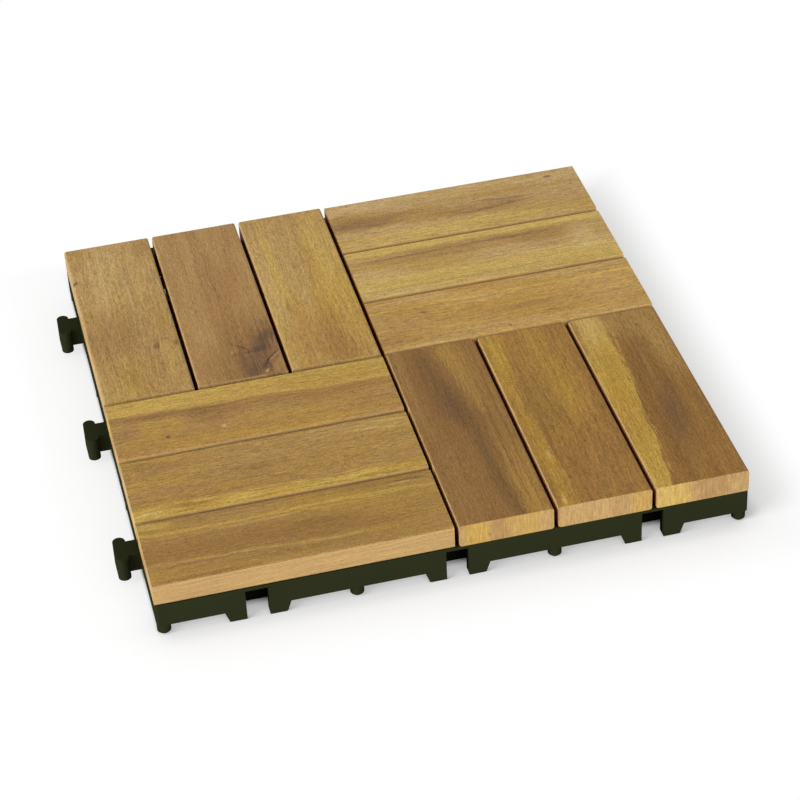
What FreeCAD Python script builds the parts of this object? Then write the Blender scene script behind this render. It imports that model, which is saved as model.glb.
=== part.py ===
import FreeCAD, Part
import math
import os
import Sketcher

# Interlocking deck tile, in millimetres, +Z up. The origin is the middle of the tile, on the
# ground that its feet stand on. +X is the tile's right side and +Y its back.
#
# Twelve hardwood slats lie on one moulded base, three to a quarter, and each quarter is turned
# a right angle from the one before it. Two screws from below hold each slat, through slots that
# let the wood swell. The base has three T-shaped pegs on its left and back sides and three sockets
# on its front and right sides, so that any tile drops over the pegs of the ones beside it.

SIZES = [
    ("tile_pitch", 300, "from the middle of one tile to the middle of the next"),
    ("joint_gap", 0.6, "gap between the bases of two joined tiles"),
    ("foot_drop", 6.3, "from the ground up to the lower edge of the skirt"),
    ("skirt_height", 13, "height of the skirt"),
    ("skirt_wall", 2.4, "thickness of the skirt"),
    ("skirt_corner", 1.2, "radius on the upright corners of the skirt"),
    ("rib_wall", 2, "thickness of every rib"),
    ("rib_height", 7, "height of the ribs, from the deck down"),
    ("slat_count", 3, "slats in one quarter of the tile"),
    ("slat_thick", 12.6, "thickness of a slat"),
    ("slat_gap", 2.2, "gap between slats, and between the quarters"),
    ("slat_round", 1.4, "radius on the long edges of a slat"),
    ("foot_wide", 7, "diameter of a foot"),
    ("foot_slope", 1.4, "chamfer round the end of a foot"),
    ("foot_inset", 3.6, "from the tile's side to the middle of an outer foot"),
    ("joint_count", 3, "pegs or sockets on one side"),
    ("joint_pitch", 100, "from one peg or socket to the next"),
    ("joint_fit", 0.4, "clearance all round a peg in its socket"),
    ("arm_wide", 10.6, "width of a peg's arm"),
    ("arm_reach", 5.6, "free length of a peg's arm, from the skirt to the head"),
    ("head_wide", 6.4, "width of a peg's head"),
    ("head_long", 18.2, "length of a peg's head, round ends included"),
    ("head_drop", 2.2, "how far a peg's head reaches below its arm"),
    ("peg_below_deck", 2.2, "from the deck down to the top of a peg"),
    ("tab_reach", 16.4, "from a socket's middle to the outer edge of its tab"),
    ("tab_taper", 2.1, "how much nearer that edge comes at the tab's lower end"),
    ("tab_round", 0.8, "radius on the outer lower corner of a tab"),
    ("tab_lift", 0.3, "from the ground up to a tab"),
    ("socket_wall", 2, "thickness of a socket's side and inner walls"),
    ("screw_inset", 24, "from the end of a slat to the middle of its screw"),
    ("screw_wide", 3.6, "diameter of a screw's shank"),
    ("screw_bite", 8.5, "how far a screw goes into its slat"),
    ("screw_head_wide", 7.2, "diameter of a screw's head"),
    ("screw_head_high", 2.2, "height of a screw's head"),
    ("screw_fit", 0.3, "clearance beside a screw in its slot"),
    ("screw_play", 1.2, "room for a screw to each end of its slot, across the slat"),
    ("pilot_fit", 0.1, "clearance round and above a screw in its slat"),
    ("boss_wide", 11, "width of a square screw boss"),
    ("boss_high", 7.5, "height of a screw boss, whose lower end a screw's head bears on"),
]

QUARTERS = ["front_left", "front_right", "back_right", "back_left"]
JOINT_SIDES = 2
FULL_TURN = 360
QUARTER_TURN = FULL_TURN / len(QUARTERS)
X, Y, Z = 0, 1, 2

# Differences too small to matter, in millimetres, and as the slope of a line.
NO_DISTANCE = 1e-9
SAME_PLACE = 1e-4
SAME_SLOPE = 1e-6


class Size:
    """A length, with the formula on the sheet that gives it."""

    def __init__(self, number, text):
        self.number = float(number)
        self.text = text

    def __add__(self, other):
        other = as_size(other)
        return Size(self.number + other.number, "(" + self.text + " + " + other.text + ")")

    def __sub__(self, other):
        other = as_size(other)
        return Size(self.number - other.number, "(" + self.text + " - " + other.text + ")")

    def __mul__(self, other):
        other = as_size(other)
        return Size(self.number * other.number, "(" + self.text + " * " + other.text + ")")

    def __truediv__(self, other):
        other = as_size(other)
        return Size(self.number / other.number, "(" + self.text + " / " + other.text + ")")

    def __neg__(self):
        return as_size(0) - self


def as_size(value):
    """A plain number as a size, and a size as itself."""
    if isinstance(value, Size):
        return value
    return Size(value, repr(value))


doc = FreeCAD.newDocument("deck_tile")
sheet = doc.addObject("Spreadsheet::Sheet", "sizes")
given = {}
for row, (alias, number, meaning) in enumerate(SIZES, start=1):
    sheet.set("A%d" % row, meaning)
    sheet.set("B%d" % row, str(number))
    sheet.setAlias("B%d" % row, alias)
    given[alias] = Size(number, "sizes." + alias)
doc.recompute()


def bind(thing, path, size):
    """Tie one property of a feature to the sheet."""
    thing.setExpression(path, as_size(size).text)


def new_body(name):
    """An empty body that carries one sub-part's name."""
    body = doc.addObject("PartDesign::Body", name)
    body.Label = name
    return body


def plane_of(body, role):
    """One of a body's own origin planes or axes."""
    return [thing for thing in body.Origin.OriginFeatures if thing.Role == role][0]


def new_sketch(body, name, role="XY_Plane", offset=0):
    """A sketch on one of the body's own planes, moved along the plane's normal."""
    sketch = body.newObject("Sketcher::SketchObject", name)
    sketch.AttachmentSupport = [(plane_of(body, role), "")]
    sketch.MapMode = "FlatFace"
    place = FreeCAD.Vector(0, 0, as_size(offset).number)
    sketch.AttachmentOffset = FreeCAD.Placement(place, FreeCAD.Rotation())
    bind(sketch, "AttachmentOffset.Base.z", offset)
    return sketch


def fix_point(sketch, geometry, end, x, y):
    """Hold one point of a sketch at its distances from the sketch's origin."""
    for kind, axis, size in (("DistanceX", -2, as_size(x)), ("DistanceY", -1, as_size(y))):
        if abs(size.number) < NO_DISTANCE:
            sketch.addConstraint(Sketcher.Constraint("PointOnObject", geometry, end, axis))
            continue
        rule = Sketcher.Constraint(kind, -1, 1, geometry, end, size.number)
        bind(sketch, "Constraints[%d]" % sketch.addConstraint(rule), size)


def add_outline(sketch, points):
    """A closed outline of straight lines through the given points."""
    spots = [FreeCAD.Vector(as_size(x).number, as_size(y).number, 0) for x, y in points]
    lines = []
    for start, end in zip(spots, spots[1:] + spots[:1]):
        lines.append(sketch.addGeometry(Part.LineSegment(start, end)))
    for line, following in zip(lines, lines[1:] + lines[:1]):
        sketch.addConstraint(Sketcher.Constraint("Coincident", line, 2, following, 1))
    for line, (x, y) in zip(lines, points):
        fix_point(sketch, line, 1, x, y)


def add_box_outline(sketch, left, front, right, back):
    """A closed rectangle."""
    add_outline(sketch, [(left, front), (right, front), (right, back), (left, back)])


def add_circle(sketch, x, y, width):
    """A circle of the given diameter."""
    radius = as_size(width) / 2
    middle = FreeCAD.Vector(as_size(x).number, as_size(y).number, 0)
    circle = sketch.addGeometry(Part.Circle(middle, FreeCAD.Vector(0, 0, 1), radius.number))
    rule = Sketcher.Constraint("Radius", circle, radius.number)
    bind(sketch, "Constraints[%d]" % sketch.addConstraint(rule), radius)
    fix_point(sketch, circle, 3, x, y)


def add_obround(sketch, x, y, width, length):
    """A slot outline with half-round ends, long along the sketch's Y."""
    radius = as_size(width) / 2
    low = as_size(y) - as_size(length) / 2 + radius
    high = as_size(y) + as_size(length) / 2 - radius
    west = (x - radius).number
    east = (x + radius).number
    upward = FreeCAD.Vector(0, 0, 1)

    def arc(centre, start, end):
        circle = Part.Circle(FreeCAD.Vector(x.number, centre.number, 0), upward, radius.number)
        return sketch.addGeometry(Part.ArcOfCircle(circle, start, end))

    def line(side, start, end):
        run = Part.LineSegment(FreeCAD.Vector(side, start, 0), FreeCAD.Vector(side, end, 0))
        return sketch.addGeometry(run)

    right = line(east, low.number, high.number)
    top = arc(high, 0, math.pi)
    left = line(west, high.number, low.number)
    bottom = arc(low, math.pi, 2 * math.pi)
    ring = [right, top, left, bottom]
    for edge, following in zip(ring, ring[1:] + ring[:1]):
        sketch.addConstraint(Sketcher.Constraint("Tangent", edge, 2, following, 1))
    sketch.addConstraint(Sketcher.Constraint("Vertical", right))
    rule = Sketcher.Constraint("Radius", top, radius.number)
    bind(sketch, "Constraints[%d]" % sketch.addConstraint(rule), radius)
    fix_point(sketch, top, 3, x, high)
    fix_point(sketch, bottom, 3, x, low)


def add_pad(body, name, sketch, length, backwards=False):
    """Material along the sketch's normal."""
    pad = body.newObject("PartDesign::Pad", name)
    pad.Profile = sketch
    pad.Length = as_size(length).number
    pad.Reversed = backwards
    bind(pad, "Length", length)
    doc.recompute()
    return pad


def add_pocket(body, name, sketch, depth):
    """A cut that rises along the sketch's normal, and is checked to take something away."""
    before = body.Shape.Volume
    pocket = body.newObject("PartDesign::Pocket", name)
    pocket.Profile = sketch
    pocket.Length = as_size(depth).number
    pocket.Reversed = True
    bind(pocket, "Length", depth)
    doc.recompute()
    if body.Shape.Volume >= before:
        raise ValueError(name + " cuts nothing")
    return pocket


def add_row(body, name, role, length, count, backwards=False):
    """A straight row of copies along one of the body's axes."""
    row_of = doc.addObject("PartDesign::LinearPattern", name)
    row_of.Direction = (plane_of(body, role), [""])
    row_of.Length = as_size(length).number
    row_of.Occurrences = int(round(as_size(count).number))
    row_of.Reversed = backwards
    bind(row_of, "Length", length)
    bind(row_of, "Occurrences", count)
    body.addObject(row_of)
    return row_of


def add_turn(body, name, angle, count, backwards=False):
    """Copies turned about the upright axis through the middle of the tile."""
    turn = doc.addObject("PartDesign::PolarPattern", name)
    turn.Axis = (plane_of(body, "Z_Axis"), [""])
    turn.Angle = angle
    turn.Occurrences = count
    turn.Reversed = backwards
    body.addObject(turn)
    return turn


def repeat(body, name, originals, steps):
    """Copies of some features by several patterns, one after another."""
    copies = doc.addObject("PartDesign::MultiTransform", name)
    copies.Originals = originals
    body.addObject(copies)
    copies.Transformations = [step(body) for step in steps]
    body.Tip = copies
    doc.recompute()
    return copies


def combine(body, name, kind, tool):
    """Fuse or cut the body so far with another body."""
    before = body.Shape.Volume
    boolean = body.newObject("PartDesign::Boolean", name)
    boolean.setObjects([tool])
    boolean.Type = kind
    doc.recompute()
    if (kind == "Cut") != (body.Shape.Volume < before):
        raise ValueError(name + " changes nothing")
    return boolean


def dress_edges(body, name, kind, measure, edges, size):
    """A fillet or chamfer on the edges that a rule picks from the body so far."""
    feature = body.Tip
    found = []
    for number, edge in enumerate(feature.Shape.Edges, start=1):
        if edges(edge):
            found.append("Edge%d" % number)
    if not found:
        raise ValueError(name + " finds no edge")
    dressing = body.newObject("PartDesign::" + kind, name)
    dressing.Base = (feature, found)
    setattr(dressing, measure, as_size(size).number)
    bind(dressing, measure, size)
    doc.recompute()
    return dressing


def add_fillet(body, name, edges, radius):
    """A rounding."""
    return dress_edges(body, name, "Fillet", "Radius", edges, radius)


def add_chamfer(body, name, edges, width):
    """A slope at half a right angle."""
    return dress_edges(body, name, "Chamfer", "Size", edges, width)


def runs_along(edge, axis):
    """Whether an edge is straight and parallel to one of the axes."""
    if not isinstance(edge.Curve, (Part.Line, Part.LineSegment)):
        return False
    return abs(abs(edge.tangentAt(edge.FirstParameter)[axis]) - 1) < SAME_SLOPE


def lies_at(edge, axis, *places):
    """Whether an edge's middle is at one of some coordinates."""
    middle = edge.valueAt((edge.FirstParameter + edge.LastParameter) / 2)[axis]
    return any(abs(middle - as_size(place).number) < SAME_PLACE for place in places)


# Sizes that follow from the driving ones.
side = given["tile_pitch"] - given["joint_gap"]
edge_at = side / 2
skirt_low = given["foot_drop"]
deck = skirt_low + given["skirt_height"]
slat_long = (side - given["slat_gap"]) / 2
slat_wide = (slat_long - given["slat_gap"] * (given["slat_count"] - 1)) / given["slat_count"]
slat_step = slat_wide + given["slat_gap"]
slat_first = edge_at - slat_wide / 2
slat_rise = slat_step * (given["slat_count"] - 1)
joint_first = given["joint_pitch"] * (given["joint_count"] - 1) / 2
joint_span = joint_first * 2
peg_top = deck - given["peg_below_deck"]
lip_deep = given["arm_reach"] + given["joint_gap"] - given["joint_fit"]
pocket_deep = lip_deep + given["head_wide"] + given["joint_fit"] * 2
slot_half = given["arm_wide"] / 2 + given["joint_fit"]
pocket_half = given["head_long"] / 2 + given["joint_fit"]
boss_span = slat_long - given["screw_inset"] * 2
boss_far = given["slat_gap"] / 2 + given["screw_inset"] + boss_span
screw_seat = deck - given["boss_high"]


def make_skirt(base):
    """The upright wall round the tile, with its corners rounded."""
    inner = edge_at - given["skirt_wall"]
    sketch = new_sketch(base, "skirt_outline", offset=skirt_low)
    add_box_outline(sketch, -edge_at, -edge_at, edge_at, edge_at)
    add_box_outline(sketch, -inner, -inner, inner, inner)
    add_pad(base, "skirt", sketch, given["skirt_height"])

    def outer_corner(edge):
        upright = runs_along(edge, Z) and lies_at(edge, X, edge_at, -edge_at)
        return upright and lies_at(edge, Y, edge_at, -edge_at)

    add_fillet(base, "skirt_corners", outer_corner, given["skirt_corner"])


def make_ribs(base):
    """The lattice under the deck: a rib below each joint and each middle line of the slats."""
    half = given["rib_wall"] / 2
    end = edge_at - given["skirt_wall"] / 2
    sketch = new_sketch(base, "rib_outline", offset=deck - given["rib_height"])
    add_box_outline(sketch, -slat_first - half, -end, -slat_first + half, end)
    rib = add_pad(base, "rib", sketch, given["rib_height"])
    count = given["slat_count"] * 4 - 1
    steps = [
        lambda body: add_row(body, "rib_row", "X_Axis", slat_first * 2, count),
        lambda body: add_turn(body, "rib_turn", QUARTER_TURN, 2),
    ]
    repeat(base, "lattice", [rib], steps)


def make_feet(fittings):
    """Round studs under the corners, along the sides, where ribs cross and in the very middle."""
    outer = edge_at - given["foot_inset"]
    sketch = new_sketch(fittings, "foot_circles")
    add_circle(sketch, 0, 0, given["foot_wide"])
    for x in (-outer, -slat_step, slat_step, outer):
        for y in (-outer, -slat_step, slat_step, outer):
            add_circle(sketch, x, y, given["foot_wide"])
    add_pad(fittings, "feet", sketch, deck)

    def foot_rim(edge):
        return isinstance(edge.Curve, Part.Circle) and lies_at(edge, Z, 0)

    add_chamfer(fittings, "foot_ends", foot_rim, given["foot_slope"])


def socket_steps(prefix):
    """From the first socket of the front side to every socket of the front and right sides."""
    return [
        lambda body: add_row(body, prefix + "_row", "X_Axis", joint_span, given["joint_count"]),
        lambda body: add_turn(body, prefix + "_turn", QUARTER_TURN, JOINT_SIDES),
    ]


def make_sockets(fittings):
    """Two hanging tabs on the skirt with a box behind them, three to a side."""
    left = -joint_first
    front = -edge_at
    low_reach = given["tab_reach"] - given["tab_taper"]
    outline = new_sketch(fittings, "tab_outline", "XZ_Plane", edge_at)
    points = [
        (left - low_reach, given["tab_lift"]),
        (left + low_reach, given["tab_lift"]),
        (left + given["tab_reach"], skirt_low),
        (left + given["tab_reach"], deck),
        (left - given["tab_reach"], deck),
        (left - given["tab_reach"], skirt_low),
    ]
    add_outline(outline, points)
    tabs = add_pad(fittings, "tabs", outline, lip_deep, backwards=True)

    def tab_corner(edge):
        across = runs_along(edge, Y) and lies_at(edge, Z, given["tab_lift"])
        return across and lies_at(edge, X, left - low_reach, left + low_reach)

    corners = add_fillet(fittings, "tab_corners", tab_corner, given["tab_round"])

    box_half = pocket_half + given["socket_wall"]
    box = new_sketch(fittings, "socket_box_outline", offset=given["tab_lift"])
    back = front + pocket_deep + given["socket_wall"]
    add_box_outline(box, left - box_half, front + lip_deep / 2, left + box_half, back)
    walls = add_pad(fittings, "socket_walls", box, deck - given["tab_lift"])
    repeat(fittings, "sockets", [tabs, corners, walls], socket_steps("socket"))


def make_socket_clearance(clearances):
    """The T-shaped space in each socket, open below and at the skirt, for a whole peg."""
    left = -joint_first
    front = -edge_at
    cut = new_sketch(clearances, "socket_pocket_outline")
    points = [
        (left - slot_half, front - given["joint_gap"]),
        (left + slot_half, front - given["joint_gap"]),
        (left + slot_half, front + lip_deep),
        (left + pocket_half, front + lip_deep),
        (left + pocket_half, front + pocket_deep),
        (left - pocket_half, front + pocket_deep),
        (left - pocket_half, front + lip_deep),
        (left - slot_half, front + lip_deep),
    ]
    add_outline(cut, points)
    pocket = add_pad(clearances, "socket_pocket", cut, peg_top + given["joint_fit"])
    repeat(clearances, "socket_pockets", [pocket], socket_steps("socket_pocket"))


def make_pegs(fittings):
    """An arm that ends in an upright head with round ends, three to a side."""
    side_at = -edge_at
    near = -joint_first
    half = given["arm_wide"] / 2
    head_at = side_at - given["arm_reach"] - given["head_wide"] / 2
    arm = new_sketch(fittings, "arm_outline", offset=skirt_low)
    add_box_outline(arm, head_at, near - half, side_at + given["skirt_wall"] / 2, near + half)
    arm_pad = add_pad(fittings, "arm", arm, peg_top - skirt_low)
    head_low = skirt_low - given["head_drop"]
    head = new_sketch(fittings, "head_outline", offset=head_low)
    add_obround(head, head_at, near, given["head_wide"], given["head_long"])
    head_pad = add_pad(fittings, "head", head, peg_top - head_low)
    steps = [
        lambda body: add_row(body, "peg_row", "Y_Axis", joint_span, given["joint_count"]),
        lambda body: add_turn(body, "peg_turn", QUARTER_TURN, JOINT_SIDES, backwards=True),
    ]
    repeat(fittings, "pegs", [arm_pad, head_pad], steps)


def screw_steps(prefix):
    """From the first screw of a quarter to both ends of every slat of the tile."""
    return [
        lambda body: add_row(body, prefix + "_ends", "X_Axis", boss_span, 2),
        lambda body: add_row(body, prefix + "_slats", "Y_Axis", slat_rise, given["slat_count"]),
        lambda body: add_turn(body, prefix + "_quarters", FULL_TURN, len(QUARTERS)),
    ]


def make_bosses(fittings):
    """A square block at each screw, where two ribs cross."""
    half = given["boss_wide"] / 2
    outline = new_sketch(fittings, "boss_outline", offset=screw_seat)
    add_box_outline(outline, -boss_far - half, -slat_first - half, -boss_far + half, -slat_first + half)
    boss = add_pad(fittings, "boss", outline, given["boss_high"])
    repeat(fittings, "bosses", [boss], screw_steps("boss"))


def make_screw_clearance(clearances):
    """A slot for each screw's shank, long across its slat."""
    beside = given["screw_wide"] / 2 + given["screw_fit"]
    beyond = given["screw_wide"] / 2 + given["screw_play"]
    outline = new_sketch(clearances, "screw_slot_outline", offset=screw_seat)
    left = -boss_far - beside
    right = -boss_far + beside
    add_box_outline(outline, left, -slat_first - beyond, right, -slat_first + beyond)
    slot = add_pad(clearances, "screw_slot", outline, given["boss_high"])
    repeat(clearances, "screw_slots", [slot], screw_steps("screw_slot"))


def make_fittings():
    """What stands on the lattice of the base: feet, sockets, pegs and screw bosses."""
    fittings = new_body("base_fittings")
    fittings.AllowCompound = True
    make_feet(fittings)
    make_sockets(fittings)
    make_pegs(fittings)
    make_bosses(fittings)
    return fittings


def make_clearances():
    """What is taken out of the base: the space for pegs and for screws."""
    clearances = new_body("base_clearances")
    clearances.AllowCompound = True
    make_socket_clearance(clearances)
    make_screw_clearance(clearances)
    return clearances


def make_base():
    """The one-piece moulding that carries the slats and joins the tiles."""
    fittings = make_fittings()
    clearances = make_clearances()
    base = new_body("base_grid")
    make_skirt(base)
    make_ribs(base)
    combine(base, "with_fittings", "Fuse", fittings)
    combine(base, "with_clearances", "Cut", clearances)
    return base


def make_slat(quarter, number):
    """One slat, long edges rounded, with a blind hole below for each of its two screws."""
    slat = new_body("slat_%s_%d" % (QUARTERS[quarter], number + 1))
    half_long = slat_long / 2
    half_wide = slat_wide / 2
    outline = new_sketch(slat, slat.Name + "_outline")
    add_box_outline(outline, -half_long, -half_wide, half_long, half_wide)
    add_pad(slat, slat.Name + "_board", outline, given["slat_thick"])

    def long_edge(edge):
        return runs_along(edge, X)

    add_fillet(slat, slat.Name + "_edges", long_edge, given["slat_round"])
    holes = new_sketch(slat, slat.Name + "_hole_circles")
    reach = half_long - given["screw_inset"]
    for x in (-reach, reach):
        add_circle(holes, x, 0, given["screw_wide"] + given["pilot_fit"] * 2)
    depth = given["screw_bite"] + given["pilot_fit"]
    add_pocket(slat, slat.Name + "_holes", holes, depth)

    across = -(given["slat_gap"] / 2 + half_long)
    along = -(slat_first - slat_step * number)
    x, y = [(across, along), (-along, across), (-across, -along), (along, -across)][quarter]
    turn = FreeCAD.Rotation(FreeCAD.Vector(0, 0, 1), QUARTER_TURN * quarter)
    slat.Placement = FreeCAD.Placement(FreeCAD.Vector(x.number, y.number, deck.number), turn)
    bind(slat, "Placement.Base.x", x)
    bind(slat, "Placement.Base.y", y)
    bind(slat, "Placement.Base.z", deck)
    return slat


def make_screws():
    """The screws, one solid each: a pan head under a boss and a shank up into the slat."""
    screws = new_body("screws")
    screws.AllowCompound = True
    x = -boss_far
    low = screw_seat - given["screw_head_high"]
    tip = deck + given["screw_bite"]
    shank = given["screw_wide"] / 2
    head = given["screw_head_wide"] / 2
    profile = new_sketch(screws, "screw_profile", "XZ_Plane", slat_first)
    points = [
        (x, low),
        (x + head, low),
        (x + head, screw_seat),
        (x + shank, screw_seat),
        (x + shank, tip),
        (x, tip),
    ]
    add_outline(profile, points)
    turned = screws.newObject("PartDesign::Revolution", "screw")
    turned.Profile = profile
    turned.ReferenceAxis = (profile, ["Edge%d" % len(points)])
    turned.Angle = FULL_TURN
    doc.recompute()
    repeat(screws, "screw_copies", [turned], screw_steps("screw"))
    return screws


def check(parts):
    """Refuse a model with a failed feature or a sub-part that isn't sound."""
    doc.recompute()
    for thing in doc.Objects:
        if "Invalid" in thing.State or "Error" in thing.State:
            raise ValueError(thing.Label + " failed: " + str(thing.State))
    for part in parts:
        if part.Shape.isNull() or not part.Shape.isValid():
            raise ValueError(part.Label + " has no sound shape")


def write(parts):
    """Each sub-part to a file of its own."""
    os.makedirs("parts", exist_ok=True)
    for part in parts:
        part.Shape.exportStep("parts/" + part.Label + ".step")


parts = [make_base()]
for quarter in range(len(QUARTERS)):
    for number in range(int(given["slat_count"].number)):
        parts.append(make_slat(quarter, number))
parts.append(make_screws())
check(parts)
write(parts)
for part in parts:
    print(part.Label, len(part.Shape.Solids), "solids", round(part.Shape.Volume, 1), "mm3")
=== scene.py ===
import math
from collections import namedtuple

import bpy
import numpy as np
from mathutils import Matrix, Vector


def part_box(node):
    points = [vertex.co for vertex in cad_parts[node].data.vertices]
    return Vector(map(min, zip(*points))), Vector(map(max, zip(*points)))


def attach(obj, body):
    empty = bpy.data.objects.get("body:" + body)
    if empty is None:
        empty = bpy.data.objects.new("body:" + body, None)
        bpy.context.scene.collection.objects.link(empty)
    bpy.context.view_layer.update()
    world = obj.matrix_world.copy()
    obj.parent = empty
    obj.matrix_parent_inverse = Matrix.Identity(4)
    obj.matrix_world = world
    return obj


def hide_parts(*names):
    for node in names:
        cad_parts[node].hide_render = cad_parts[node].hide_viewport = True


# Looks of an interlocking deck tile: hardwood slats, oiled and planed, on a moulded plastic base.
# Materials and screws are worked out in millimetres, and everything else is in metres.

MM = 0.001
HALF_TILE = 149.7

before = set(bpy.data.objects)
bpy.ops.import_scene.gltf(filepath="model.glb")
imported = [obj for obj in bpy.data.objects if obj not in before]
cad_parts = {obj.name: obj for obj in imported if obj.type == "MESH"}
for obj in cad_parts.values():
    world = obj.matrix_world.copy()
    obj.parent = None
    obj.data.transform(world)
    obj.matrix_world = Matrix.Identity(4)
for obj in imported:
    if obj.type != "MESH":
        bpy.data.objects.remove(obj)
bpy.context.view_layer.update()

# The palette, in the order red, green, blue, as a maker would see it on a sample card (0 to 255).
CARD = {
    "pale": (204, 176, 122),
    "straw": (192, 161, 86),
    "gold": (181, 146, 70),
    "honey": (170, 135, 73),
    "tan": (180, 148, 96),
    "rose": (165, 130, 82),
    "umber": (151, 114, 67),
    "bark": (136, 100, 56),
    "moss": (123, 94, 54),
    "plum": (117, 88, 62),
    "ink": (84, 64, 52),
    "sawn": (172, 140, 91),
}


def light(name):
    """A card's colour as the linear one that a shader takes, by the standard curve of screens."""
    colour = []
    for value in CARD[name]:
        part = value / 255
        colour.append(part / 12.92 if part < 0.04045 else ((part + 0.055) / 1.055) ** 2.4)
    return (*colour, 1.0)


class Wire:
    """One output of a node, with arithmetic for numbers."""

    def __init__(self, paint, socket):
        self.paint = paint
        self.socket = socket

    def math(self, operation, *values):
        return self.paint.add("ShaderNodeMath", {"operation": operation}, dict(enumerate(values)))

    def __add__(self, other):
        return self.math("ADD", self, other)

    def __radd__(self, other):
        return self.math("ADD", other, self)

    def __sub__(self, other):
        return self.math("SUBTRACT", self, other)

    def __rsub__(self, other):
        return self.math("SUBTRACT", other, self)

    def __mul__(self, other):
        return self.math("MULTIPLY", self, other)

    def __rmul__(self, other):
        return self.math("MULTIPLY", other, self)

    def __truediv__(self, other):
        return self.math("DIVIDE", self, other)

    def size(self):
        return self.math("ABSOLUTE", self)

    def most(self, other):
        return self.math("MAXIMUM", self, other)

    def root(self):
        return self.math("SQRT", self)


class Paint:
    """The nodes of a material or of the sky, added one by one."""

    def __init__(self, owner):
        self.owner = owner
        self.owner.use_nodes = True
        self.tree = owner.node_tree

    def node(self, kind, settings=None, values=None):
        """A node of some kind: its settings first, then the values or wires of its sockets."""
        node = self.tree.nodes.new(kind)
        for name, value in (settings or {}).items():
            setattr(node, name, value)
        for name, value in (values or {}).items():
            self.put(node.inputs[name], value)
        return node

    def add(self, kind, settings=None, values=None, output=0):
        """One output of such a node."""
        return Wire(self, self.node(kind, settings, values).outputs[output])

    def put(self, socket, value):
        """A wire or a plain value into a socket."""
        if isinstance(value, Wire):
            self.tree.links.new(value.socket, socket)
        else:
            socket.default_value = value

    def finish(self, name, values):
        """Values or wires into a node that the owner came with."""
        for socket, value in values.items():
            self.put(self.tree.nodes[name].inputs[socket], value)
        return self.owner

    def place(self):
        """The three Object coordinates, in millimetres."""
        spot = self.add("ShaderNodeTexCoord", output="Object")
        parts = self.node("ShaderNodeSeparateXYZ", values={0: spot})
        return [Wire(self, output) * (1 / MM) for output in parts.outputs]

    def join(self, x, y, z):
        """A vector from three numbers."""
        return self.add("ShaderNodeCombineXYZ", values={0: x, 1: y, 2: z})

    def noise(self, place, scales, detail, rough=0.5):
        """Smooth noise about one half, at a place whose three coordinates are scaled first."""
        spot = self.join(*(value * scale for value, scale in zip(place, scales)))
        values = {"Vector": spot, "Scale": 1.0, "Detail": detail, "Roughness": rough}
        return self.add("ShaderNodeTexNoise", {"normalize": True}, values)

    def rise(self, value, low, high):
        """From 0 at low to 1 at high, with soft ends."""
        settings = {"interpolation_type": "SMOOTHSTEP", "clamp": True}
        values = {"Value": value, "From Min": low, "From Max": high}
        return self.add("ShaderNodeMapRange", settings, values)

    def blend(self, share, under, over, way="MIX"):
        """One colour over another, by a share."""
        settings = {"data_type": "RGBA", "blend_type": way, "clamp_factor": True}
        return self.add("ShaderNodeMix", settings, {0: share, 6: under, 7: over}, output=2)

    def bump(self, strength, distance, height):
        """A fine relief for the light."""
        values = {"Strength": strength, "Distance": distance, "Height": height}
        return self.add("ShaderNodeBump", None, values)

    def seen(self):
        """1 for what the camera sees straight or in a gloss, and 0 for light on its way."""
        path = self.node("ShaderNodeLightPath")
        glossy = Wire(self, path.outputs["Is Glossy Ray"])
        return Wire(self, path.outputs["Is Camera Ray"]).most(glossy)


# The wood's marks, in each slat's own directions: along it from its middle, and across it. A mark
# has a half length and a half width, a strength, a softness of its rim, and a lean across for each
# millimetre along. A band on the sawn ends runs from top to bottom.
Mark = namedtuple("Mark", "colour along across long wide strength soft lean", defaults=[0.0])
Band = namedtuple("Band", "colour across wide strength")
ALL = 400.0

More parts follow.
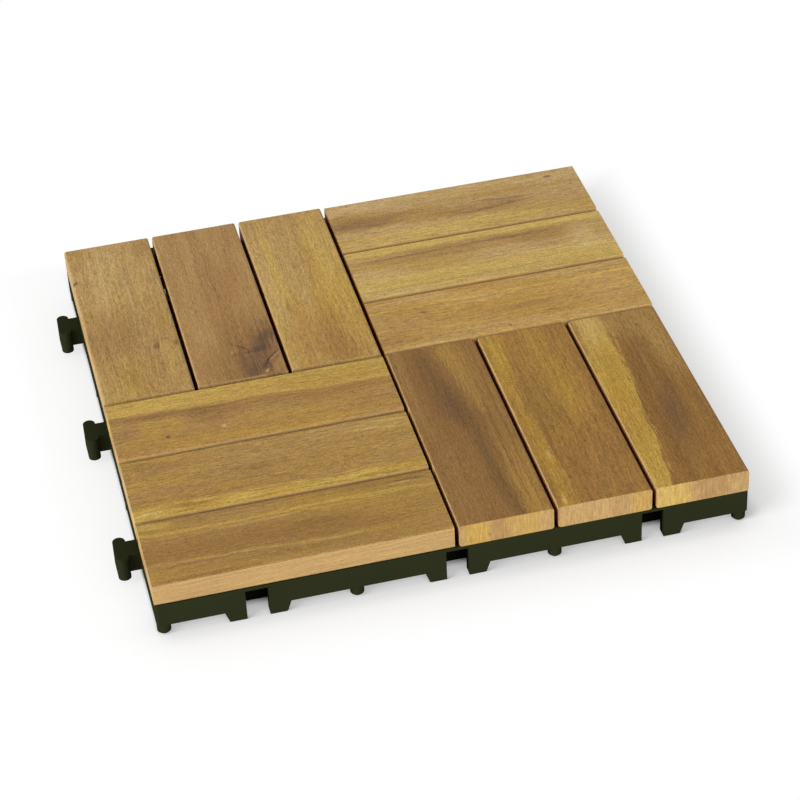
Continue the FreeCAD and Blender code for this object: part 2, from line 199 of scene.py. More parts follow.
# Each slat has its two tones, the share of red, green and blue that the oil leaves, and its marks.
SLATS = {
    "slat_front_left_3": (("honey", "rose"), (0.85, 0.81, 0.72), [
        ("straw", 0, 17, ALL, 9.5, 0.95, 0.25, -0.03),
        ("gold", 50, 14, 50, 6.5, 0.75, 0.9, -0.03),
        ("plum", -50, 7, 28, 2.4, 0.4, 0.8),
        ("umber", -48, 6.5, 26, 3.2, 0.5, 0.8),
        ("umber", -22, 3, 14, 7.5, 0.75, 0.7),
        ("plum", -24, 6, 10, 3, 0.35, 0.8),
        ("umber", 30, 3, 60, 4, 0.6, 0.8, -0.02),
        ("rose", -67, -1, 9, 9, 0.5, 0.9),
        ("gold", -54, -3, 7, 9, 0.8, 0.8),
        ("gold", -42, -1, 6, 7, 0.7, 0.8),
        ("honey", 30, -12, 50, 7, 0.6, 0.9),
        ("gold", 10, -20, 70, 3.4, 0.6, 0.7),
        ("ink", -47, -12.5, 1.3, 0.8, 0.85, 0.6),
        ("pale", -17.5, -10, 1.8, 0.8, 0.9, 0.6),
    ]),
    "slat_front_left_2": (("rose", "honey"), (0.89, 0.88, 0.73), [
        ("umber", -60, 16, 26, 9, 0.45, 0.9),
        ("umber", -20, -8, 80, 9, 0.4, 0.9),
        ("bark", -7, 1, 12, 3, 0.4, 0.9),
        ("tan", 50, 17, 32, 5, 0.7, 0.8, -0.03),
        ("pale", 64, 19, 9, 1.2, 0.7, 0.7, -0.05),
        ("pale", 60, 12.5, 16, 0.7, 0.5, 0.6, -0.04),
        ("honey", 40, 0, 40, 14, 0.5, 0.9),
        ("gold", 0, -15.5, ALL, 0.8, 0.6, 0.6),
        ("gold", 0, -20.5, ALL, 3.8, 0.8, 0.6),
        ("straw", -66, -20, 17, 3.2, 1, 0.4),
        ("straw", -21, -19.5, 14, 3.2, 1, 0.4),
        ("straw", 26, -20, 34, 1.8, 0.9, 0.4),
        ("straw", 10, -17.6, 50, 0.7, 0.6, 0.5),
        ("straw", -40, -15.4, 36, 0.7, 0.6, 0.5),
        ("umber", -42, -18, 15, 1.6, 0.6, 0.7, 0.03),
        ("bark", -56, -18.6, 18, 0.6, 0.6, 0.6),
        ("pale", -68, -21, 10, 0.8, 0.7, 0.6),
        ("pale", 38, -20.6, 10, 0.8, 0.7, 0.6),
    ]),
    "slat_front_left_1": (("honey", "rose"), (0.82, 0.79, 0.66), [
        ("umber", -30, -2, 95, 9, 0.8, 0.5, -0.02),
        ("bark", -5, -1, 40, 4, 0.3, 0.9, -0.04),
        ("umber", 30, -6, 40, 5, 0.6, 0.7, -0.03),
        ("honey", 50, 2, 22, 8, 0.7, 0.8),
        ("gold", 20, 14, 100, 3, 0.4, 0.9),
        ("straw", 0, 12.2, ALL, 1.2, 0.8, 0.6),
        ("straw", -10, 9.2, 60, 0.9, 0.55, 0.7),
        ("straw", -66, 19.5, 12, 3.4, 0.85, 0.5),
        ("umber", -48, 19.5, 12, 3, 0.5, 0.8),
        ("umber", 0, 22.5, ALL, 1.6, 0.45, 0.8),
        ("umber", 40, 20, 20, 2.5, 0.6, 0.8),
        ("plum", 64, 19.6, 11, 1, 0.85, 0.5, 0.01),
        ("pale", 60, 17.6, 9, 0.7, 0.5, 0.6, 0.01),
        ("straw", -20, -11, 60, 0.9, 0.6, 0.6, -0.035),
        ("bark", -30, -12.6, 50, 0.7, 0.5, 0.7, -0.035),
        ("moss", -5, -17, 60, 3, 0.3, 0.9),
        ("bark", -52, -23, 32, 2.4, 0.6, 0.7),
        ("honey", 55, -18, 26, 5, 0.5, 0.9),
        ("ink", -6.5, -15.5, 1.3, 0.6, 0.6, 0.7),
    ]),
    "slat_front_right_3": (("umber", "umber"), (0.76, 0.71, 0.61), [
        ("rose", 40, -20, 50, 4, 0.5, 0.8),
        ("rose", -50, -15, 50, 6, 0.35, 0.9),
        ("bark", 45, -12, 44, 6, 0.55, 0.9, -0.02),
        ("moss", 50, -5, 34, 6, 0.8, 0.8, -0.1),
        ("plum", 20, -1, 24, 8.5, 0.8, 0.8, -0.12),
        ("moss", 10, 5, 24, 4, 0.5, 0.8, -0.08),
        ("moss", -36, 4.5, 55, 5, 0.85, 0.7, -0.03),
        ("honey", 45, 13, 46, 9, 0.8, 0.4, -0.12),
        ("gold", 60, 6, 20, 4, 0.5, 0.8, -0.1),
        ("honey", -45, 17.5, 48, 8, 0.75, 0.35, -0.02),
        ("gold", -62, 15, 22, 5, 0.5, 0.7, -0.02),
        ("bark", -10, 9.5, 60, 0.8, 0.5, 0.6, -0.03),
        ("bark", -10, 14.5, 60, 1.2, 0.6, 0.6),
        ("umber", 40, 17.5, 60, 3, 0.6, 0.7),
        ("bark", 0, 19.5, 90, 1, 0.6, 0.7),
    ]),
    "slat_front_right_2": (("honey", "umber"), (0.8, 0.74, 0.54), [
        ("honey", 30, 0, 70, 18, 0.8, 0.8),
        ("gold", 20, 6, 50, 7, 0.5, 0.9),
        ("gold", 50, -19, 34, 6, 0.9, 0.7),
        ("straw", 58, -19, 18, 3.4, 0.5, 0.8),
        ("gold", -40, -18.5, 62, 4.5, 0.7, 0.5),
        ("moss", 6, -6, 40, 8, 0.3, 0.9),
        ("umber", 20, 20.5, 80, 3.6, 0.8, 0.7),
        ("umber", -48, 7, 46, 17, 0.8, 0.5, 0.14),
        ("rose", -56, 5, 26, 9, 0.35, 0.9, 0.1),
        ("bark", 0, -2, 26, 6, 0.25, 0.9),
        ("bark", -30, -12.5, 50, 1, 0.5, 0.7),
        ("bark", 20, 5, 60, 0.7, 0.3, 0.7, 0.02),
        ("pale", -33, -17, 4, 1.4, 0.7, 0.7, 0.2),
        ("pale", -69, -20, 4, 1.4, 0.7, 0.7),
    ]),
    "slat_front_right_1": (("umber", "bark"), (0.83, 0.78, 0.58), [
        ("tan", 50, 17, 44, 9, 0.6, 0.9),
        ("straw", 28, -15, 66, 9.5, 0.95, 0.25, 0.03),
        ("straw", -50, -18, 40, 6.8, 0.95, 0.25, 0.07),
        ("gold", 0, -17, 70, 7, 0.6, 0.9, 0.04),
        ("gold", -1, -17, 52, 8, 0.75, 0.7, 0.03),
        ("tan", 66, 2, 18, 12, 0.6, 0.8),
        ("pale", 70, -16, 24, 8, 0.7, 0.8),
        ("bark", 10, -3, 50, 4.5, 0.85, 0.6, 0.06),
        ("plum", -20, 4, 32, 7, 0.8, 0.8, 0.09),
        ("umber", -55, 8, 30, 12, 0.5, 0.9),
        ("plum", 20, 1.5, 60, 0.9, 0.5, 0.7, 0.03),
        ("ink", 61, 10.5, 1, 0.8, 0.8, 0.6),
    ]),
    "slat_back_left_1": (("tan", "honey"), (0.88, 0.86, 0.79), [
        ("tan", 40, 0, 44, ALL, 0.7, 0.9),
        ("pale", 44, -6, 34, 12, 0.3, 0.9),
        ("rose", 68, 18, 14, 9, 0.7, 0.9),
        ("umber", -18, -11, 23, 22, 0.75, 0.8),
        ("rose", -16, -10, 26, 24, 0.6, 0.8),
        ("rose", -36, -17, 30, 7, 0.6, 0.9),
        ("gold", -58, 0, 22, 20, 0.75, 0.9),
        ("moss", -56, -4, 16, 6, 0.35, 0.9),
        ("rose", -50, 12, 36, 15, 0.75, 0.8),
        ("straw", -44, 16, 24, 4, 0.3, 0.9),
        ("plum", 40, -22.6, 2.2, 1.5, 0.95, 0.6, 0.4),
        ("plum", -31.5, 11.8, 3.2, 1.5, 0.8, 0.8),
        ("plum", -31.5, 20.8, 3, 1.6, 0.75, 0.8),
        ("umber", -26, 14, 1.2, 9, 0.5, 0.8),
    ]),
    "slat_back_left_2": (("rose", "tan"), (0.87, 0.82, 0.76), [
        ("rose", 0, 0, ALL, ALL, 0.5, 0.9),
        ("umber", 0, 4, 40, 14, 0.35, 0.9),
        ("moss", -54, 6, 38, 18, 0.55, 0.9, 0.1),
        ("umber", -56, 12, 34, 15, 0.85, 0.8),
        ("umber", -64, -10, 20, 15, 0.5, 0.9),
        ("ink", -70, 16, 10, 7, 0.45, 0.9),
        ("plum", -52, 15, 25, 10, 0.8, 0.8, 0.15),
        ("plum", -64, 8, 15, 9, 0.6, 0.7, 0.1),
        ("ink", -41, 19.5, 9, 6, 0.65, 0.8, 0.2),
        ("ink", -50.5, 14.5, 3.5, 6, 0.7, 0.8),
        ("ink", -46.5, 5, 5.5, 1.1, 0.65, 0.8, -1),
        ("ink", -52, 10, 1.2, 9, 0.6, 0.8),
        ("plum", -60, 3, 18, 2.2, 0.6, 0.8, 0.12),
        ("plum", -63, 8.5, 12, 1.2, 0.6, 0.8, 0.1),
        ("ink", -70, 6, 8, 3.5, 0.5, 0.8, 0.2),
        ("ink", -62, 17.5, 9, 2.4, 0.9, 0.6, 0.86),
        ("tan", -58, 21.6, 7, 1, 0.75, 0.6, 0.8),
        ("rose", -68, 21, 7, 3.2, 0.7, 0.7, 0.5),
        ("pale", -50, -0.6, 1.4, 1, 0.5, 0.8),
        ("pale", -71, 14, 2.2, 1, 0.6, 0.7, 0.4),
        ("plum", -28, 20, 4, 3, 0.5, 0.9),
    ]),
    "slat_back_left_3": (("tan", "honey"), (0.93, 0.91, 0.77), [
        ("tan", 62, 0, 26, ALL, 0.8, 0.9),
        ("rose", 66, 0, 18, ALL, 0.35, 0.9),
        ("straw", 10, -13, 60, 3, 0.6, 0.8, -0.02),
        ("pale", -20, -20, 60, 4, 0.3, 0.9),
        ("rose", -45, -11, 34, 3, 0.7, 0.8, -0.02),
        ("straw", 15, 15, 60, 9, 0.6, 0.9),
        ("gold", -30, 12, 40, 12, 0.6, 0.9),
        ("honey", -56, 3, 38, 19, 0.75, 0.8),
        ("umber", -54, 2, 30, 14, 0.55, 0.9),
        ("bark", -66, 6, 14, 10, 0.4, 0.9),
        ("plum", -18, -13.5, 12, 1, 0.4, 0.8),
    ]),
    "slat_back_right_1": (("tan", "honey"), (0.97, 0.97, 1), [
        ("pale", 0, 17, ALL, 6, 0.3, 0.9),
        ("straw", -10, -17.5, 90, 6.5, 0.8, 0.6),
        ("umber", -58, 1, 30, 7.5, 0.7, 0.6),
        ("plum", -64, 0, 24, 4, 0.45, 0.7),
        ("umber", -34, 3, 30, 3, 0.5, 0.8, -0.05),
        ("umber", 14, -2, 36, 5.5, 0.6, 0.6, 0.04),
        ("plum", 18, -4.5, 28, 1.2, 0.5, 0.7, 0.08),
        ("plum", 26, 2, 20, 0.8, 0.5, 0.7, -0.1),
        ("umber", -70, 9.5, 7, 1.6, 0.5, 0.8),
        ("plum", 29, -2, 2.4, 1.2, 0.6, 0.8),
        ("plum", 57, 17.2, 2.4, 1, 0.9, 0.7),
    ]),
    "slat_back_right_2": (("tan", "honey"), (1.01, 1.03, 1.03), [
        ("straw", 0, 20.5, ALL, 3.8, 0.85, 0.5),
        ("umber", -5, 10.5, 64, 6, 0.6, 0.5),
        ("plum", -40, 11.5, 28, 1.2, 0.5, 0.7),
        ("plum", 20, 12.6, 36, 1.6, 0.6, 0.7),
        ("umber", 36, 6, 22, 7, 0.5, 0.8),
        ("straw", 0, -14, ALL, 10, 0.7, 0.7),
        ("pale", 58, 0, 8, 14, 0.35, 0.9),
        ("umber", 40, -6.5, 12, 0.7, 0.5, 0.6),
        ("moss", -10, -18, 60, 2, 0.25, 0.9),
    ]),
    "slat_back_right_3": (("tan", "honey"), (0.99, 0.95, 0.79), [
        ("honey", 0, -8, ALL, 14, 0.4, 0.9),
        ("tan", 58, -4, 24, 20, 0.7, 0.9),
        ("rose", -62, -6, 18, 18, 0.6, 0.9),
        ("umber", -70, -16, 12, 8, 0.45, 0.9),
        ("straw", 0, 12, ALL, 0.9, 0.8, 0.6, 0.01),
        ("umber", -30, 10.4, 50, 0.7, 0.3, 0.7, 0.01),
        ("umber", 10, -4, 26, 3, 0.5, 0.8, 0.08),
        ("umber", -36, 0, 26, 1.2, 0.4, 0.8, 0.04),
        ("plum", -45.5, 5, 2.8, 1, 0.9, 0.7),
        ("ink", -4, -19.5, 0.9, 0.7, 0.6, 0.7),
    ]),
}


# Bands on the sawn ends: a colour, its place across, its half width and its strength.
ENDS = {
    "slat_front_left_3": [("straw", 14, 9, 0.8), ("rose", 0, 6, 0.5)],
    "slat_front_left_2": [("straw", -19, 5, 0.8), ("tan", 10, 8, 0.4)],
    "slat_front_left_1": [("straw", 16, 6, 0.6), ("rose", -6, 10, 0.4)],
    "slat_front_right_3": [("gold", -15, 6, 0.9), ("umber", -4, 5, 0.5), ("gold", 9, 9, 0.5)],
    "slat_front_right_2": [("tan", -6, 12, 0.4), ("rose", 8, 5, 0.3), ("gold", 19, 5, 0.5)],
    "slat_front_right_1": [("straw", -15, 9, 0.8), ("umber", 6, 8, 0.4)],
    "slat_back_left_1": [("tan", 10, 12, 0.6), ("gold", -14, 6, 0.4)],
    "slat_back_left_2": [("rose", -6, 14, 0.5), ("plum", 17, 5, 0.5)],
    "slat_back_left_3": [("straw", 12, 8, 0.6), ("rose", -10, 6, 0.4)],
    "slat_back_right_1": [("straw", -17, 7, 0.7), ("umber", 2, 6, 0.5)],
    "slat_back_right_2": [("straw", -12, 9, 0.6), ("umber", 11, 5, 0.5)],
    "slat_back_right_3": [("tan", 12, 8, 0.5), ("rose", -10, 8, 0.4)],
}

# The grain is made of layers of noise. Each has the scales of its three coordinates, its detail and
# its roughness. The first ten run along, across and into the slat. The last three lie on its sawn
# faces: across, up and by slat on the ends, and along, up and by slat on the sides.
LAYERS = {
    "wave": ((0.02, 0.045, 0.3), 1.0, 0.5),
    "ripple": ((0.07, 0.22, 1.0), 2.0, 0.5),
    "fray": ((0.05, 0.7, 1.0), 4.0, 0.75),
    "tone": ((0.014, 0.09, 1.0), 2.0, 0.5),
    "rings": ((0.009, 0.5, 1.0), 4.0, 0.6),
    "streaks": ((0.03, 1.2, 1.0), 3.0, 0.7),
    "fibres": ((0.2, 1.5, 2.0), 1.0, 0.5),
    "speckle": ((0.75, 1.3, 2.0), 2.0, 0.8),
    "ticks": ((0.3, 1.2, 2.0), 1.0, 0.5),
    "hue": ((0.02, 0.6, 1.0), 2.0, 0.5),
    "end_rings": ((0.25, 0.35, 3.1), 2.0, 0.6),
    "end_fibres": ((1.3, 0.15, 0.05), 3.0, 0.8),
    "side_lines": ((0.03, 0.02, 1.7), 3.0, 0.8),
}

# How much each layer darkens or lightens the top, and how much it lifts or sinks it. Then the
# strength of that relief and its height in metres, and how much the oil's gloss varies with it.
SHADES = {
    "rings": 0.4, "streaks": 0.75, "fibres": 0.8, "speckle": 1.4, "dark": -0.14, "bright": 0.12,
}
RELIEF = {"rings": 0.5, "fibres": 0.4, "speckle": 0.3, "dark": -0.8}
RELIEF_STRENGTH = 0.3
RELIEF_HIGH = 0.0002
GLOSS = {"fibres": 0.2, "dark": 0.12}
WOOD_ROUGH = 0.52
WOOD_SHINE = 0.12

# How fast the grain changes into the depth, and how far it is from one slat's grain to the next
# one's, from a slat's grain to its hue, and from one slat's ends to the next one's.
DEPTH_SCALE = 0.8
SLAT_STEP = 13.7
HUE_STEP = 5.0
END_STEP = 46.0

# How far the grain is carried aside and a mark is frayed, in millimetres, and how much a mark's rim
# is frayed in shares of its size.
WAVE_REACH = 6.0
RIPPLE_REACH = 2.5
FRAY_REACH = 6.0
RIM_FRAY = 1.5

# Between which values of the noise the tone changes and the ticks appear, and how much the hue goes
# to red and away from blue.
TONE_STEP = (-0.14, 0.14)
DARK_TICKS = (0.1, 0.25)
BRIGHT_TICKS = (-0.1, -0.25)
HUE_RED = 0.08
HUE_BLUE = 0.2

# Where sawn faces start and are whole, in millimetres in from the near edge, the far edge, the ends
# and the tile's own sides, and the heights between which the painted light on a near side changes
# its tone.
NEAR_SIDE = (0.5, 0.2)
FAR_SIDE = (0.2, 0.05)
ENDS_FROM = (0.08, 0.02)
INNER_FROM = (0.6, 1.4)
BELOW_ROUND = (12.3, 11.3)

# A band's rim in shares of its width, how far the rings carry it aside, and for how many
# millimetres along a saw's line rises one. Then how uneven the faces are, how much they cover, and
# how much the painted light covers the near sides inside the tile.
BAND_RIM = (1.3, 0.6)
END_REACH = 9.0
LINE_RUN = 55.0
END_UNEVEN = 1.5
SIDE_UNEVEN = 1.1
SAWN_SPECKLE = 0.7
SAWN_COVER = 0.9
NEAR_LIGHT_COVER = 0.95

# Deep between two slats the wood is painted with shade in a strong red brown, the red standing in
# for light bounced between the slats' sides.
GAP_SHADE_FROM = (10.6, 8.0)
GAP_SHADE_COVER = 0.95
GAP_SHADE_COLOUR = (0.2, 0.018, 0.001, 1)


class Slat:
    """One slat's own directions, in millimetres: along and across from its middle, and up."""

    def __init__(self, node, paint, seed):
        self.paint = paint
        self.seed = seed
        x, y, z = paint.place()
        low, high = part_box(node)
        middle = (low + high) / 2 / MM
        half = (high - low) / 2 / MM
        self.up = z - low.z / MM
        # Inside the tile a slat's near side gets painted light in two tones: rose over tan where it
        # faces the front, pale where it faces the left.
        if half.x > half.y:
            self.along, self.across = x - middle.x, y - middle.y
            self.half_long, self.half_wide = half.x, half.y
            self.near_painted_light_tones = ("rose", "tan")
        else:
            self.along, self.across = y - middle.y, x - middle.x
            self.half_long, self.half_wide = half.y, half.x
            self.near_painted_light_tones = ("pale", "pale")
        self.inner = paint.rise(HALF_TILE - x.size().most(y.size()), *INNER_FROM)
        self.deep = self.up * DEPTH_SCALE + seed * SLAT_STEP

    def layer(self, name, *place):
        """A layer of the grain, about nothing."""
        return self.paint.noise(place, *LAYERS[name]) - 0.5

    def grain(self, name, across, deep=None):
        """Such a layer along the slat."""
        return self.layer(name, self.along, across, deep or self.deep)


def marked(slat, tones, marks, bent):
    """The slat's two tones, with its marks over them, their rims frayed by fine fibres."""
    paint = slat.paint
    fray = slat.grain("fray", bent)
    frayed = bent + fray * FRAY_REACH
    share = paint.rise(slat.grain("tone", bent), *TONE_STEP)
    colour = paint.blend(share, light(tones[0]), light(tones[1]))
    for mark in (Mark(*values) for values in marks):
        run = slat.along - mark.along
        aside = (frayed - mark.across - run * mark.lean) / mark.wide
        reach = run / mark.long
        rim = (reach * reach + aside * aside).root() + fray * RIM_FRAY
        cover = paint.rise(rim, 1 + mark.soft / 2, 1 - mark.soft) * mark.strength
        colour = paint.blend(cover, colour, light(mark.colour))
    return colour


def sawn_faces(slat, bands, speckle):
    """The colour of the sawn sides and ends, with painted light on the near sides inside the tile,
    and the share of them at a point.
    """
    paint, along, across, up = slat.paint, slat.along, slat.across, slat.up
    near_start, near_whole = (value - slat.half_wide for value in NEAR_SIDE)
    far_start, far_whole = (slat.half_wide - value for value in FAR_SIDE)
    end_start, end_whole = (slat.half_long - value for value in ENDS_FROM)
    near = paint.rise(across, near_start, near_whole)
    side = near.most(paint.rise(across, far_start, far_whole))
    end = paint.rise(along.size(), end_start, end_whole)

    # The ends show the growth rings edge on, in bands.
    colour = light("sawn")
    edgewise = across + slat.layer("end_rings", across, up, slat.seed) * END_REACH
    for band in (Band(*values) for values in bands):
        away = (edgewise - band.across).size() / band.wide
        cover = paint.rise(away, *BAND_RIM) * band.strength
        colour = paint.blend(end * cover, colour, light(band.colour))
    # On the near sides inside the tile the colour is painted light, a paler tone that lifts the
    # shade in the gaps, paler still below the rounded edge.
    below = paint.rise(up, *BELOW_ROUND)
    facing = paint.blend(below, light(slat.near_painted_light_tones[0]), light(slat.near_painted_light_tones[1]))
    colour = paint.blend(slat.inner * near * NEAR_LIGHT_COVER, colour, facing)

    fibres = slat.layer("end_fibres", across, up, along + slat.seed * END_STEP)
    lines = slat.layer("side_lines", along, up * LINE_RUN - along, slat.seed)
    grey = 1.0 + end * fibres * END_UNEVEN + side * lines * SIDE_UNEVEN + speckle * SAWN_SPECKLE
    colour = paint.blend(1.0, colour, paint.join(grey, grey, grey), "MULTIPLY")
    return colour, side.most(end)


def weighed(parts, amounts):
    """The sum of some layers, each by its amount."""
    return sum(parts[name] * amount for name, amount in amounts.items())


def wood(node, seed):
    """Oiled hardwood: grain along the slat over its own marks, and paler sawn sides and ends."""
    tones, oil, marks = SLATS[node]
    paint = Paint(bpy.data.materials.new("wood_" + node))
    slat = Slat(node, paint, seed)

    # Slow waves and small ripples carry the grain aside.
    wave = slat.grain("wave", slat.across)
    ripple = slat.grain("ripple", slat.across)
    bent = slat.across + wave * WAVE_REACH + ripple * RIPPLE_REACH
    colour = marked(slat, tones, marks, bent)

    # Growth rings and streaks, fibres and a fine speckle, and pores as short ticks, dark and light.
    parts = {name: slat.grain(name, bent) for name in ("rings", "streaks")}
    parts.update({name: slat.grain(name, slat.across) for name in ("fibres", "speckle")})
    ticks = slat.grain("ticks", bent)
    parts["dark"] = paint.rise(ticks, *DARK_TICKS)
    parts["bright"] = paint.rise(ticks, *BRIGHT_TICKS)
    grey = 1.0 + weighed(parts, SHADES)
    hue = slat.grain("hue", bent, slat.deep + HUE_STEP)
    red = grey * (1.0 + hue * HUE_RED) * oil[0]
    blue = grey * (1.0 - hue * HUE_BLUE) * oil[2]
    colour = paint.blend(1.0, colour, paint.join(red, grey * oil[1], blue), "MULTIPLY")

    sawn, share = sawn_faces(slat, ENDS[node], parts["speckle"])
    colour = paint.blend(share * SAWN_COVER, colour, sawn)
    # Painted shade deep in the gaps between slats, in a strong red brown.
    gap_shade = slat.inner * share * paint.rise(slat.up, *GAP_SHADE_FROM) * GAP_SHADE_COVER
    colour = paint.blend(gap_shade, colour, GAP_SHADE_COLOUR)
    return paint.finish("Principled BSDF", {
        "Base Color": colour,
        "Roughness": WOOD_ROUGH + weighed(parts, GLOSS),
        "Normal": paint.bump(RELIEF_STRENGTH, RELIEF_HIGH, weighed(parts, RELIEF)),
        "Specular IOR Level": WOOD_SHINE,
    })


# The plastic: its two tones, and painted shade in the sockets and on the deck under the slats, the
# deck's shade tinted red as a painted reflection of the wood. Then where those start and are whole,
# in from the tile's side and down from the deck, and where a socket ends. Then the noise of its
# clouds and of its fine tooth, each by its scales and its detail.
PLASTIC = ((0.0172, 0.02, 0.0082, 1), (0.0222, 0.0255, 0.011, 1))
SOCKET_SHADE = (0.0015, 0.002, 0.0007, 1)
DECK_SHADE = (0.02, 0.002, 0.0003, 1)
PLASTIC_SHADE_COVER = 0.85
INSIDE_FROM = (1.6, 3.0)
SOCKET_TO = (18.0, 15.0)
DECK_FROM = (0.4, 0.1)
CLOUD = ((0.03, 0.03, 0.03), 2.0)
TOOTH = ((2.2, 2.2, 2.2), 2.0)
TOOTH_STRENGTH = 0.2
TOOTH_HIGH = 0.0001
TOOTH_ROUGH = 0.12
PLASTIC_ROUGH = 0.45
PLASTIC_SHINE = 0.0


def moulded_plastic():
    """Dark olive plastic with the fine tooth of a blasted mould, and painted shade in the sockets
    and on the deck under the slats.
    """
    paint = Paint(bpy.data.materials.new("base_plastic"))
    x, y, z = paint.place()
    cloud = paint.noise((x, y, z), *CLOUD)
    tooth = paint.noise((x, y, z), *TOOTH)
    deck_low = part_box("slat_front_left_1")[0].z / MM
    inward = HALF_TILE - x.size().most(y.size())
    inside = paint.rise(inward, *INSIDE_FROM)
    socket = inside * paint.rise(inward, *SOCKET_TO)
    deck = inside * paint.rise(z, *(deck_low - value for value in DECK_FROM))
    colour = paint.blend(cloud, *PLASTIC)
    # Painted shade in the sockets, and on the deck under the slats painted shade with a red cast, a
    # painted reflection of the wood.
    colour = paint.blend(socket * PLASTIC_SHADE_COVER, colour, SOCKET_SHADE)
    colour = paint.blend(deck * PLASTIC_SHADE_COVER, colour, DECK_SHADE)
    return paint.finish("Principled BSDF", {
        "Base Color": colour,
        "Roughness": PLASTIC_ROUGH + (tooth - 0.5) * TOOTH_ROUGH,
        "Normal": paint.bump(TOOTH_STRENGTH, TOOTH_HIGH, tooth),
        "Specular IOR Level": PLASTIC_SHINE,
    })


ZINC = ((0.5, 0.51, 0.52, 1), (0.72, 0.72, 0.7, 1))
ZINC_CLOUD = ((0.6, 0.6, 0.6), 3.0)
ZINC_ROUGH = 0.25
ZINC_UNEVEN = 0.2


def zinc():
    """Bright zinc on the screws, a little uneven."""
    paint = Paint(bpy.data.materials.new("screw_steel"))
    cloud = paint.noise(paint.place(), *ZINC_CLOUD)
    return paint.finish("Principled BSDF", {
        "Base Color": paint.blend(cloud, *ZINC),
        "Metallic": 1.0,
        "Roughness": ZINC_ROUGH + cloud * ZINC_UNEVEN,
    })


def dress(node, material):
    """One material on a node of the frame."""
    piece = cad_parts[node]
    piece.data.materials.clear()
    piece.data.materials.append(material)


def show(name, data):
    """An object of that name in the scene."""
    piece = bpy.data.objects.new(name, data)
    bpy.context.scene.collection.objects.link(piece)
    return piece


# The screws: how far in from a slat's end they sit, the head's half width, height and rounded rim,
# the shank and its point, and the cross in the head. Then points round, rings of points over the
# face, the angle from which an edge is sharp, and the seed of the turns.
SCREW_INSET = 24.0
HEAD_HALF = 3.6
HEAD_HIGH = 2.2
RIM_ROUND = 0.8
SHANK_HALF = 1.8
POINT_HALF = 0.54
POINT_LONG = 3.0
CROSS_HALF = 0.45
CROSS_REACH = 2.1
CROSS_DEEP = 1.3
CROSS_SLOPE = 0.3
TURNS = 72
FACE_RINGS = 26
SHARP_ANGLE = 32
TURN_SEED = 7


def screw_shape(low, tip):
    """One pan head screw, head down: rings of points about the axis, and a point at each end.

    The face lies at the low height and lifts over its rounded rim by a quarter circle: the rim's
    radius times one less the square root of one less the square of the share, which goes from 0
    where the rim starts to 1 at the head's side. The cross is sunk where the lesser of the two
    distances from the axis, along x and along y, is within its half width and the greater within
    its reach, each with a sloping wall. From the rim the outline goes straight up, in to the shank
    and up to the tip.
    """
    face = np.linspace(0, HEAD_HALF, FACE_RINGS + 1)[1:]
    share = np.clip((face - HEAD_HALF + RIM_ROUND) / RIM_ROUND, 0, 1)
    lift = low + RIM_ROUND * (1 - np.sqrt(1 - share * share))
    seat = low + HEAD_HIGH
    radius = np.concatenate([face, [HEAD_HALF, SHANK_HALF, SHANK_HALF, POINT_HALF]])
    height = np.concatenate([lift, [seat, seat, tip - POINT_LONG, tip]])
    angle = np.arange(TURNS) * (2 * math.pi / TURNS)
    x = radius[:, None] * np.cos(angle)
    y = radius[:, None] * np.sin(angle)
    lesser = np.minimum(np.abs(x), np.abs(y))
    greater = np.maximum(np.abs(x), np.abs(y))
    inside = np.clip((CROSS_HALF + CROSS_SLOPE - lesser) / CROSS_SLOPE, 0, 1)
    inside = inside * np.clip((CROSS_REACH - greater) / CROSS_SLOPE, 0, 1)
    inside[FACE_RINGS:] = 0
    z = height[:, None] + inside * CROSS_DEEP
    points = np.stack([x, y, z], -1).reshape(-1, 3)
    points = np.concatenate([points, [(0, 0, low + CROSS_DEEP), (0, 0, tip)]])
    ring = np.arange(len(radius) - 1)[:, None] * TURNS
    spot = np.arange(TURNS)
    after = (spot + 1) % TURNS
    walls = np.stack([ring + spot, ring + after, ring + TURNS + after, ring + TURNS + spot], -1)
    last = (len(radius) - 1) * TURNS
    bottom = np.stack([np.full(TURNS, len(points) - 2), after, spot], -1)
    top = np.stack([np.full(TURNS, len(points) - 1), last + spot, last + after], -1)
    return points, walls.reshape(-1, 4), np.concatenate([bottom, top])


def screws():
    """A screw at each end of every slat, each stopped at a turn of its own."""
    low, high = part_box("screws")
    points, walls, caps = screw_shape(low.z / MM, high.z / MM)
    chance = np.random.default_rng(TURN_SEED)
    spots, quads, fans = [], [], []
    for slat in sorted(SLATS):
        first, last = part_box(slat)
        middle = (first + last) / 2 / MM
        half = (last - first) / 2 / MM
        run = max(half.x, half.y) - SCREW_INSET
        aside = (run, 0) if half.x > half.y else (0, run)
        for way in (-1, 1):
            turn = chance.uniform(0, math.pi / 2)
            cosine, sine = math.cos(turn), math.sin(turn)
            turned = points @ np.array([(cosine, sine, 0), (-sine, cosine, 0), (0, 0, 1)])
            start = len(points) * len(spots)
            spots.append(turned + (middle.x + way * aside[0], middle.y + way * aside[1], 0))
            quads.append(walls + start)
            fans.append(caps + start)
    mesh = bpy.data.meshes.new("screws_turned")
    faces = np.concatenate(quads).tolist() + np.concatenate(fans).tolist()
    mesh.from_pydata((np.concatenate(spots) * MM).tolist(), [], faces)
    mesh.polygons.foreach_set("use_smooth", np.ones(len(faces), bool))
    mesh.set_sharp_from_angle(angle=math.radians(SHARP_ANGLE))
    mesh.materials.append(zinc())
    piece = show("screws_turned", mesh)
    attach(piece, "root")
    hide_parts("screws")


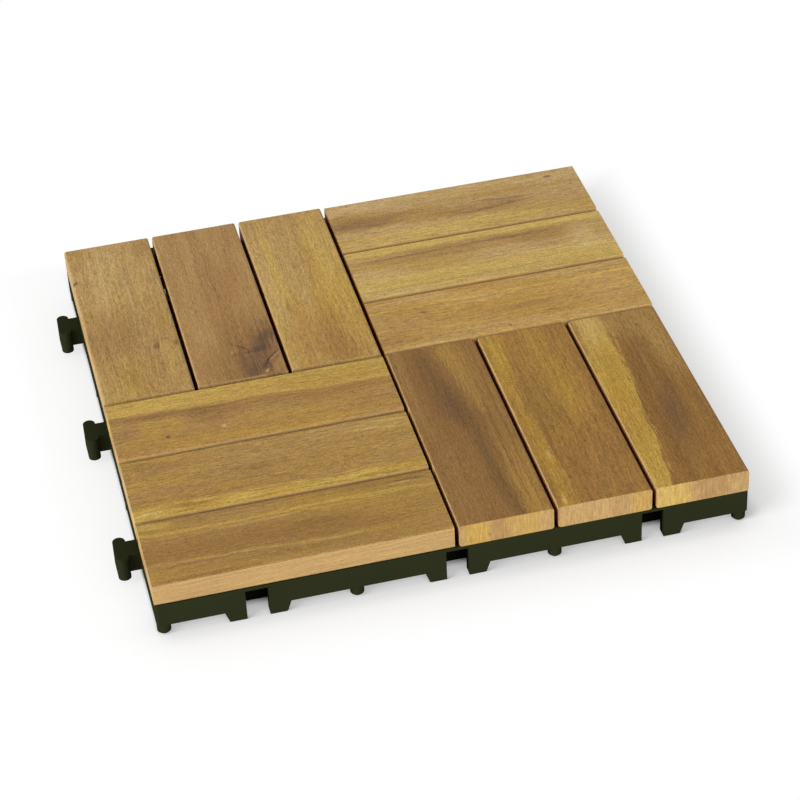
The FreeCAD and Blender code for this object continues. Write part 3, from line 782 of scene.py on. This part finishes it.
# The floor glows white where it is seen, more away from the tile: far off it is the plain white
# backdrop, and near the tile the glow is painted light that makes the real shadow paler, though
# right at the tile's side the real shadow is kept. Each pair says where a step starts and where it
# is whole, in millimetres out from the tile's side: two for the strip under the rim, then the near
# and the far shadow. LEFT is for the left side, outwards and back, where the shadow is painted
# paler still.
FLOOR_HALF = 6.0
FLOOR_WHITE = 0.93
STRIP_INNER = (-14.0, -8.0)
STRIP_OUTER = (1.0, -4.0)
SHADOW_NEAR = (2.0, 12.0)
SHADOW_FAR = (12.0, 45.0)
NEAR_PAINTED_GLOW = 0.34
LEFT_OUT = (1.0, -1.0)
LEFT_BACK = (-20.0, 25.0)
LEFT_PAINTED_GLOW = 0.72


def floor():
    """A pale floor with painted light that makes the shadow near the tile paler, under its rim and
    on the left, and is plain white further off.
    """
    corners = np.array([(-1, -1, 0), (1, -1, 0), (1, 1, 0), (-1, 1, 0)]) * FLOOR_HALF
    mesh = bpy.data.meshes.new("floor")
    mesh.from_pydata(corners.tolist(), [], [(0, 1, 2, 3)])
    piece = show("floor", mesh)
    paint = Paint(bpy.data.materials.new("floor"))
    x, y = paint.place()[:2]
    away = (x.size() - HALF_TILE).most(y.size() - HALF_TILE)
    # Painted light: a white glow mixed in where seen, lightening the shadow under the rim, further
    # out and along the left.
    white = paint.rise(away, *STRIP_INNER) * paint.rise(away, *STRIP_OUTER) * NEAR_PAINTED_GLOW
    white = white + paint.rise(away, *SHADOW_NEAR) * NEAR_PAINTED_GLOW
    white = white + paint.rise(away, *SHADOW_FAR) * (1 - NEAR_PAINTED_GLOW)
    left = paint.rise(x + HALF_TILE, *LEFT_OUT) * paint.rise(y + HALF_TILE, *LEFT_BACK)
    white = white.most(left * LEFT_PAINTED_GLOW)
    pale = (FLOOR_WHITE, FLOOR_WHITE, FLOOR_WHITE, 1)
    plain = paint.add("ShaderNodeBsdfDiffuse", None, {"Color": pale})
    glow = paint.add("ShaderNodeEmission", None, {"Color": (1, 1, 1, 1), "Strength": 1.0})
    mixed = paint.add("ShaderNodeMixShader", None, {0: white * paint.seen(), 1: plain, 2: glow})
    mesh.materials.append(paint.finish("Material Output", {"Surface": mixed}))


# The sky's strength. Then the lamps, in metres and watts: the side of their square, and the place
# and the power of each.
SKY = 0.62
LAMP_SIZE = 1.6
LAMPS = {"left_light": ((-2.2, -0.9, 0.9), 60), "front_light": ((0.5, -2.6, 1.0), 30)}


def sky():
    """Even white light from all round, and plain white where it is seen."""
    paint = Paint(bpy.data.worlds.new("sky"))
    strength = SKY + paint.seen() * (1 - SKY)
    world = paint.finish("Background", {"Color": (1, 1, 1, 1), "Strength": strength})
    bpy.context.scene.world = world


def softbox(name, place, power):
    """A square light at a place, facing the tile."""
    lamp = bpy.data.lights.new(name, "AREA")
    lamp.shape = "SQUARE"
    lamp.size = LAMP_SIZE
    lamp.energy = power
    piece = show(name, lamp)
    piece.location = place
    piece.rotation_euler = (-Vector(place)).to_track_quat("-Z", "Y").to_euler()


# The camera stands where the corners between the slats fall on their places in the picture.
CAMERA_PLACE = (-0.22344, -1.0835, 0.83146)
CAMERA_TURN = 0.21
CAMERA_DIP = 0.644
CAMERA_TILT = -0.056
CAMERA_LENS = 116.02
CAMERA_SENSOR = 36.0


def camera():
    """Forward from the turn and the dip, then right and up, tilted about forward."""
    ahead = math.cos(CAMERA_DIP)
    forward = Vector((math.sin(CAMERA_TURN) * ahead, math.cos(CAMERA_TURN) * ahead,
                      -math.sin(CAMERA_DIP)))
    level = Vector((math.cos(CAMERA_TURN), -math.sin(CAMERA_TURN), 0))
    upright = level.cross(forward)
    right = level * math.cos(CAMERA_TILT) + upright * math.sin(CAMERA_TILT)
    top = upright * math.cos(CAMERA_TILT) - level * math.sin(CAMERA_TILT)
    lens = bpy.data.cameras.new("camera")
    lens.sensor_width = CAMERA_SENSOR
    lens.lens = CAMERA_LENS
    piece = show("camera", lens)
    turn = Matrix((right, top, -forward)).transposed()
    piece.matrix_world = Matrix.Translation(CAMERA_PLACE) @ turn.to_4x4()
    bpy.context.scene.camera = piece


for number, slat_name in enumerate(sorted(SLATS), start=1):
    dress(slat_name, wood(slat_name, number))
dress("base_grid", moulded_plastic())
screws()
floor()
sky()
for lamp_name in LAMPS:
    softbox(lamp_name, *LAMPS[lamp_name])
camera()
bpy.context.scene.view_settings.view_transform = "Standard"
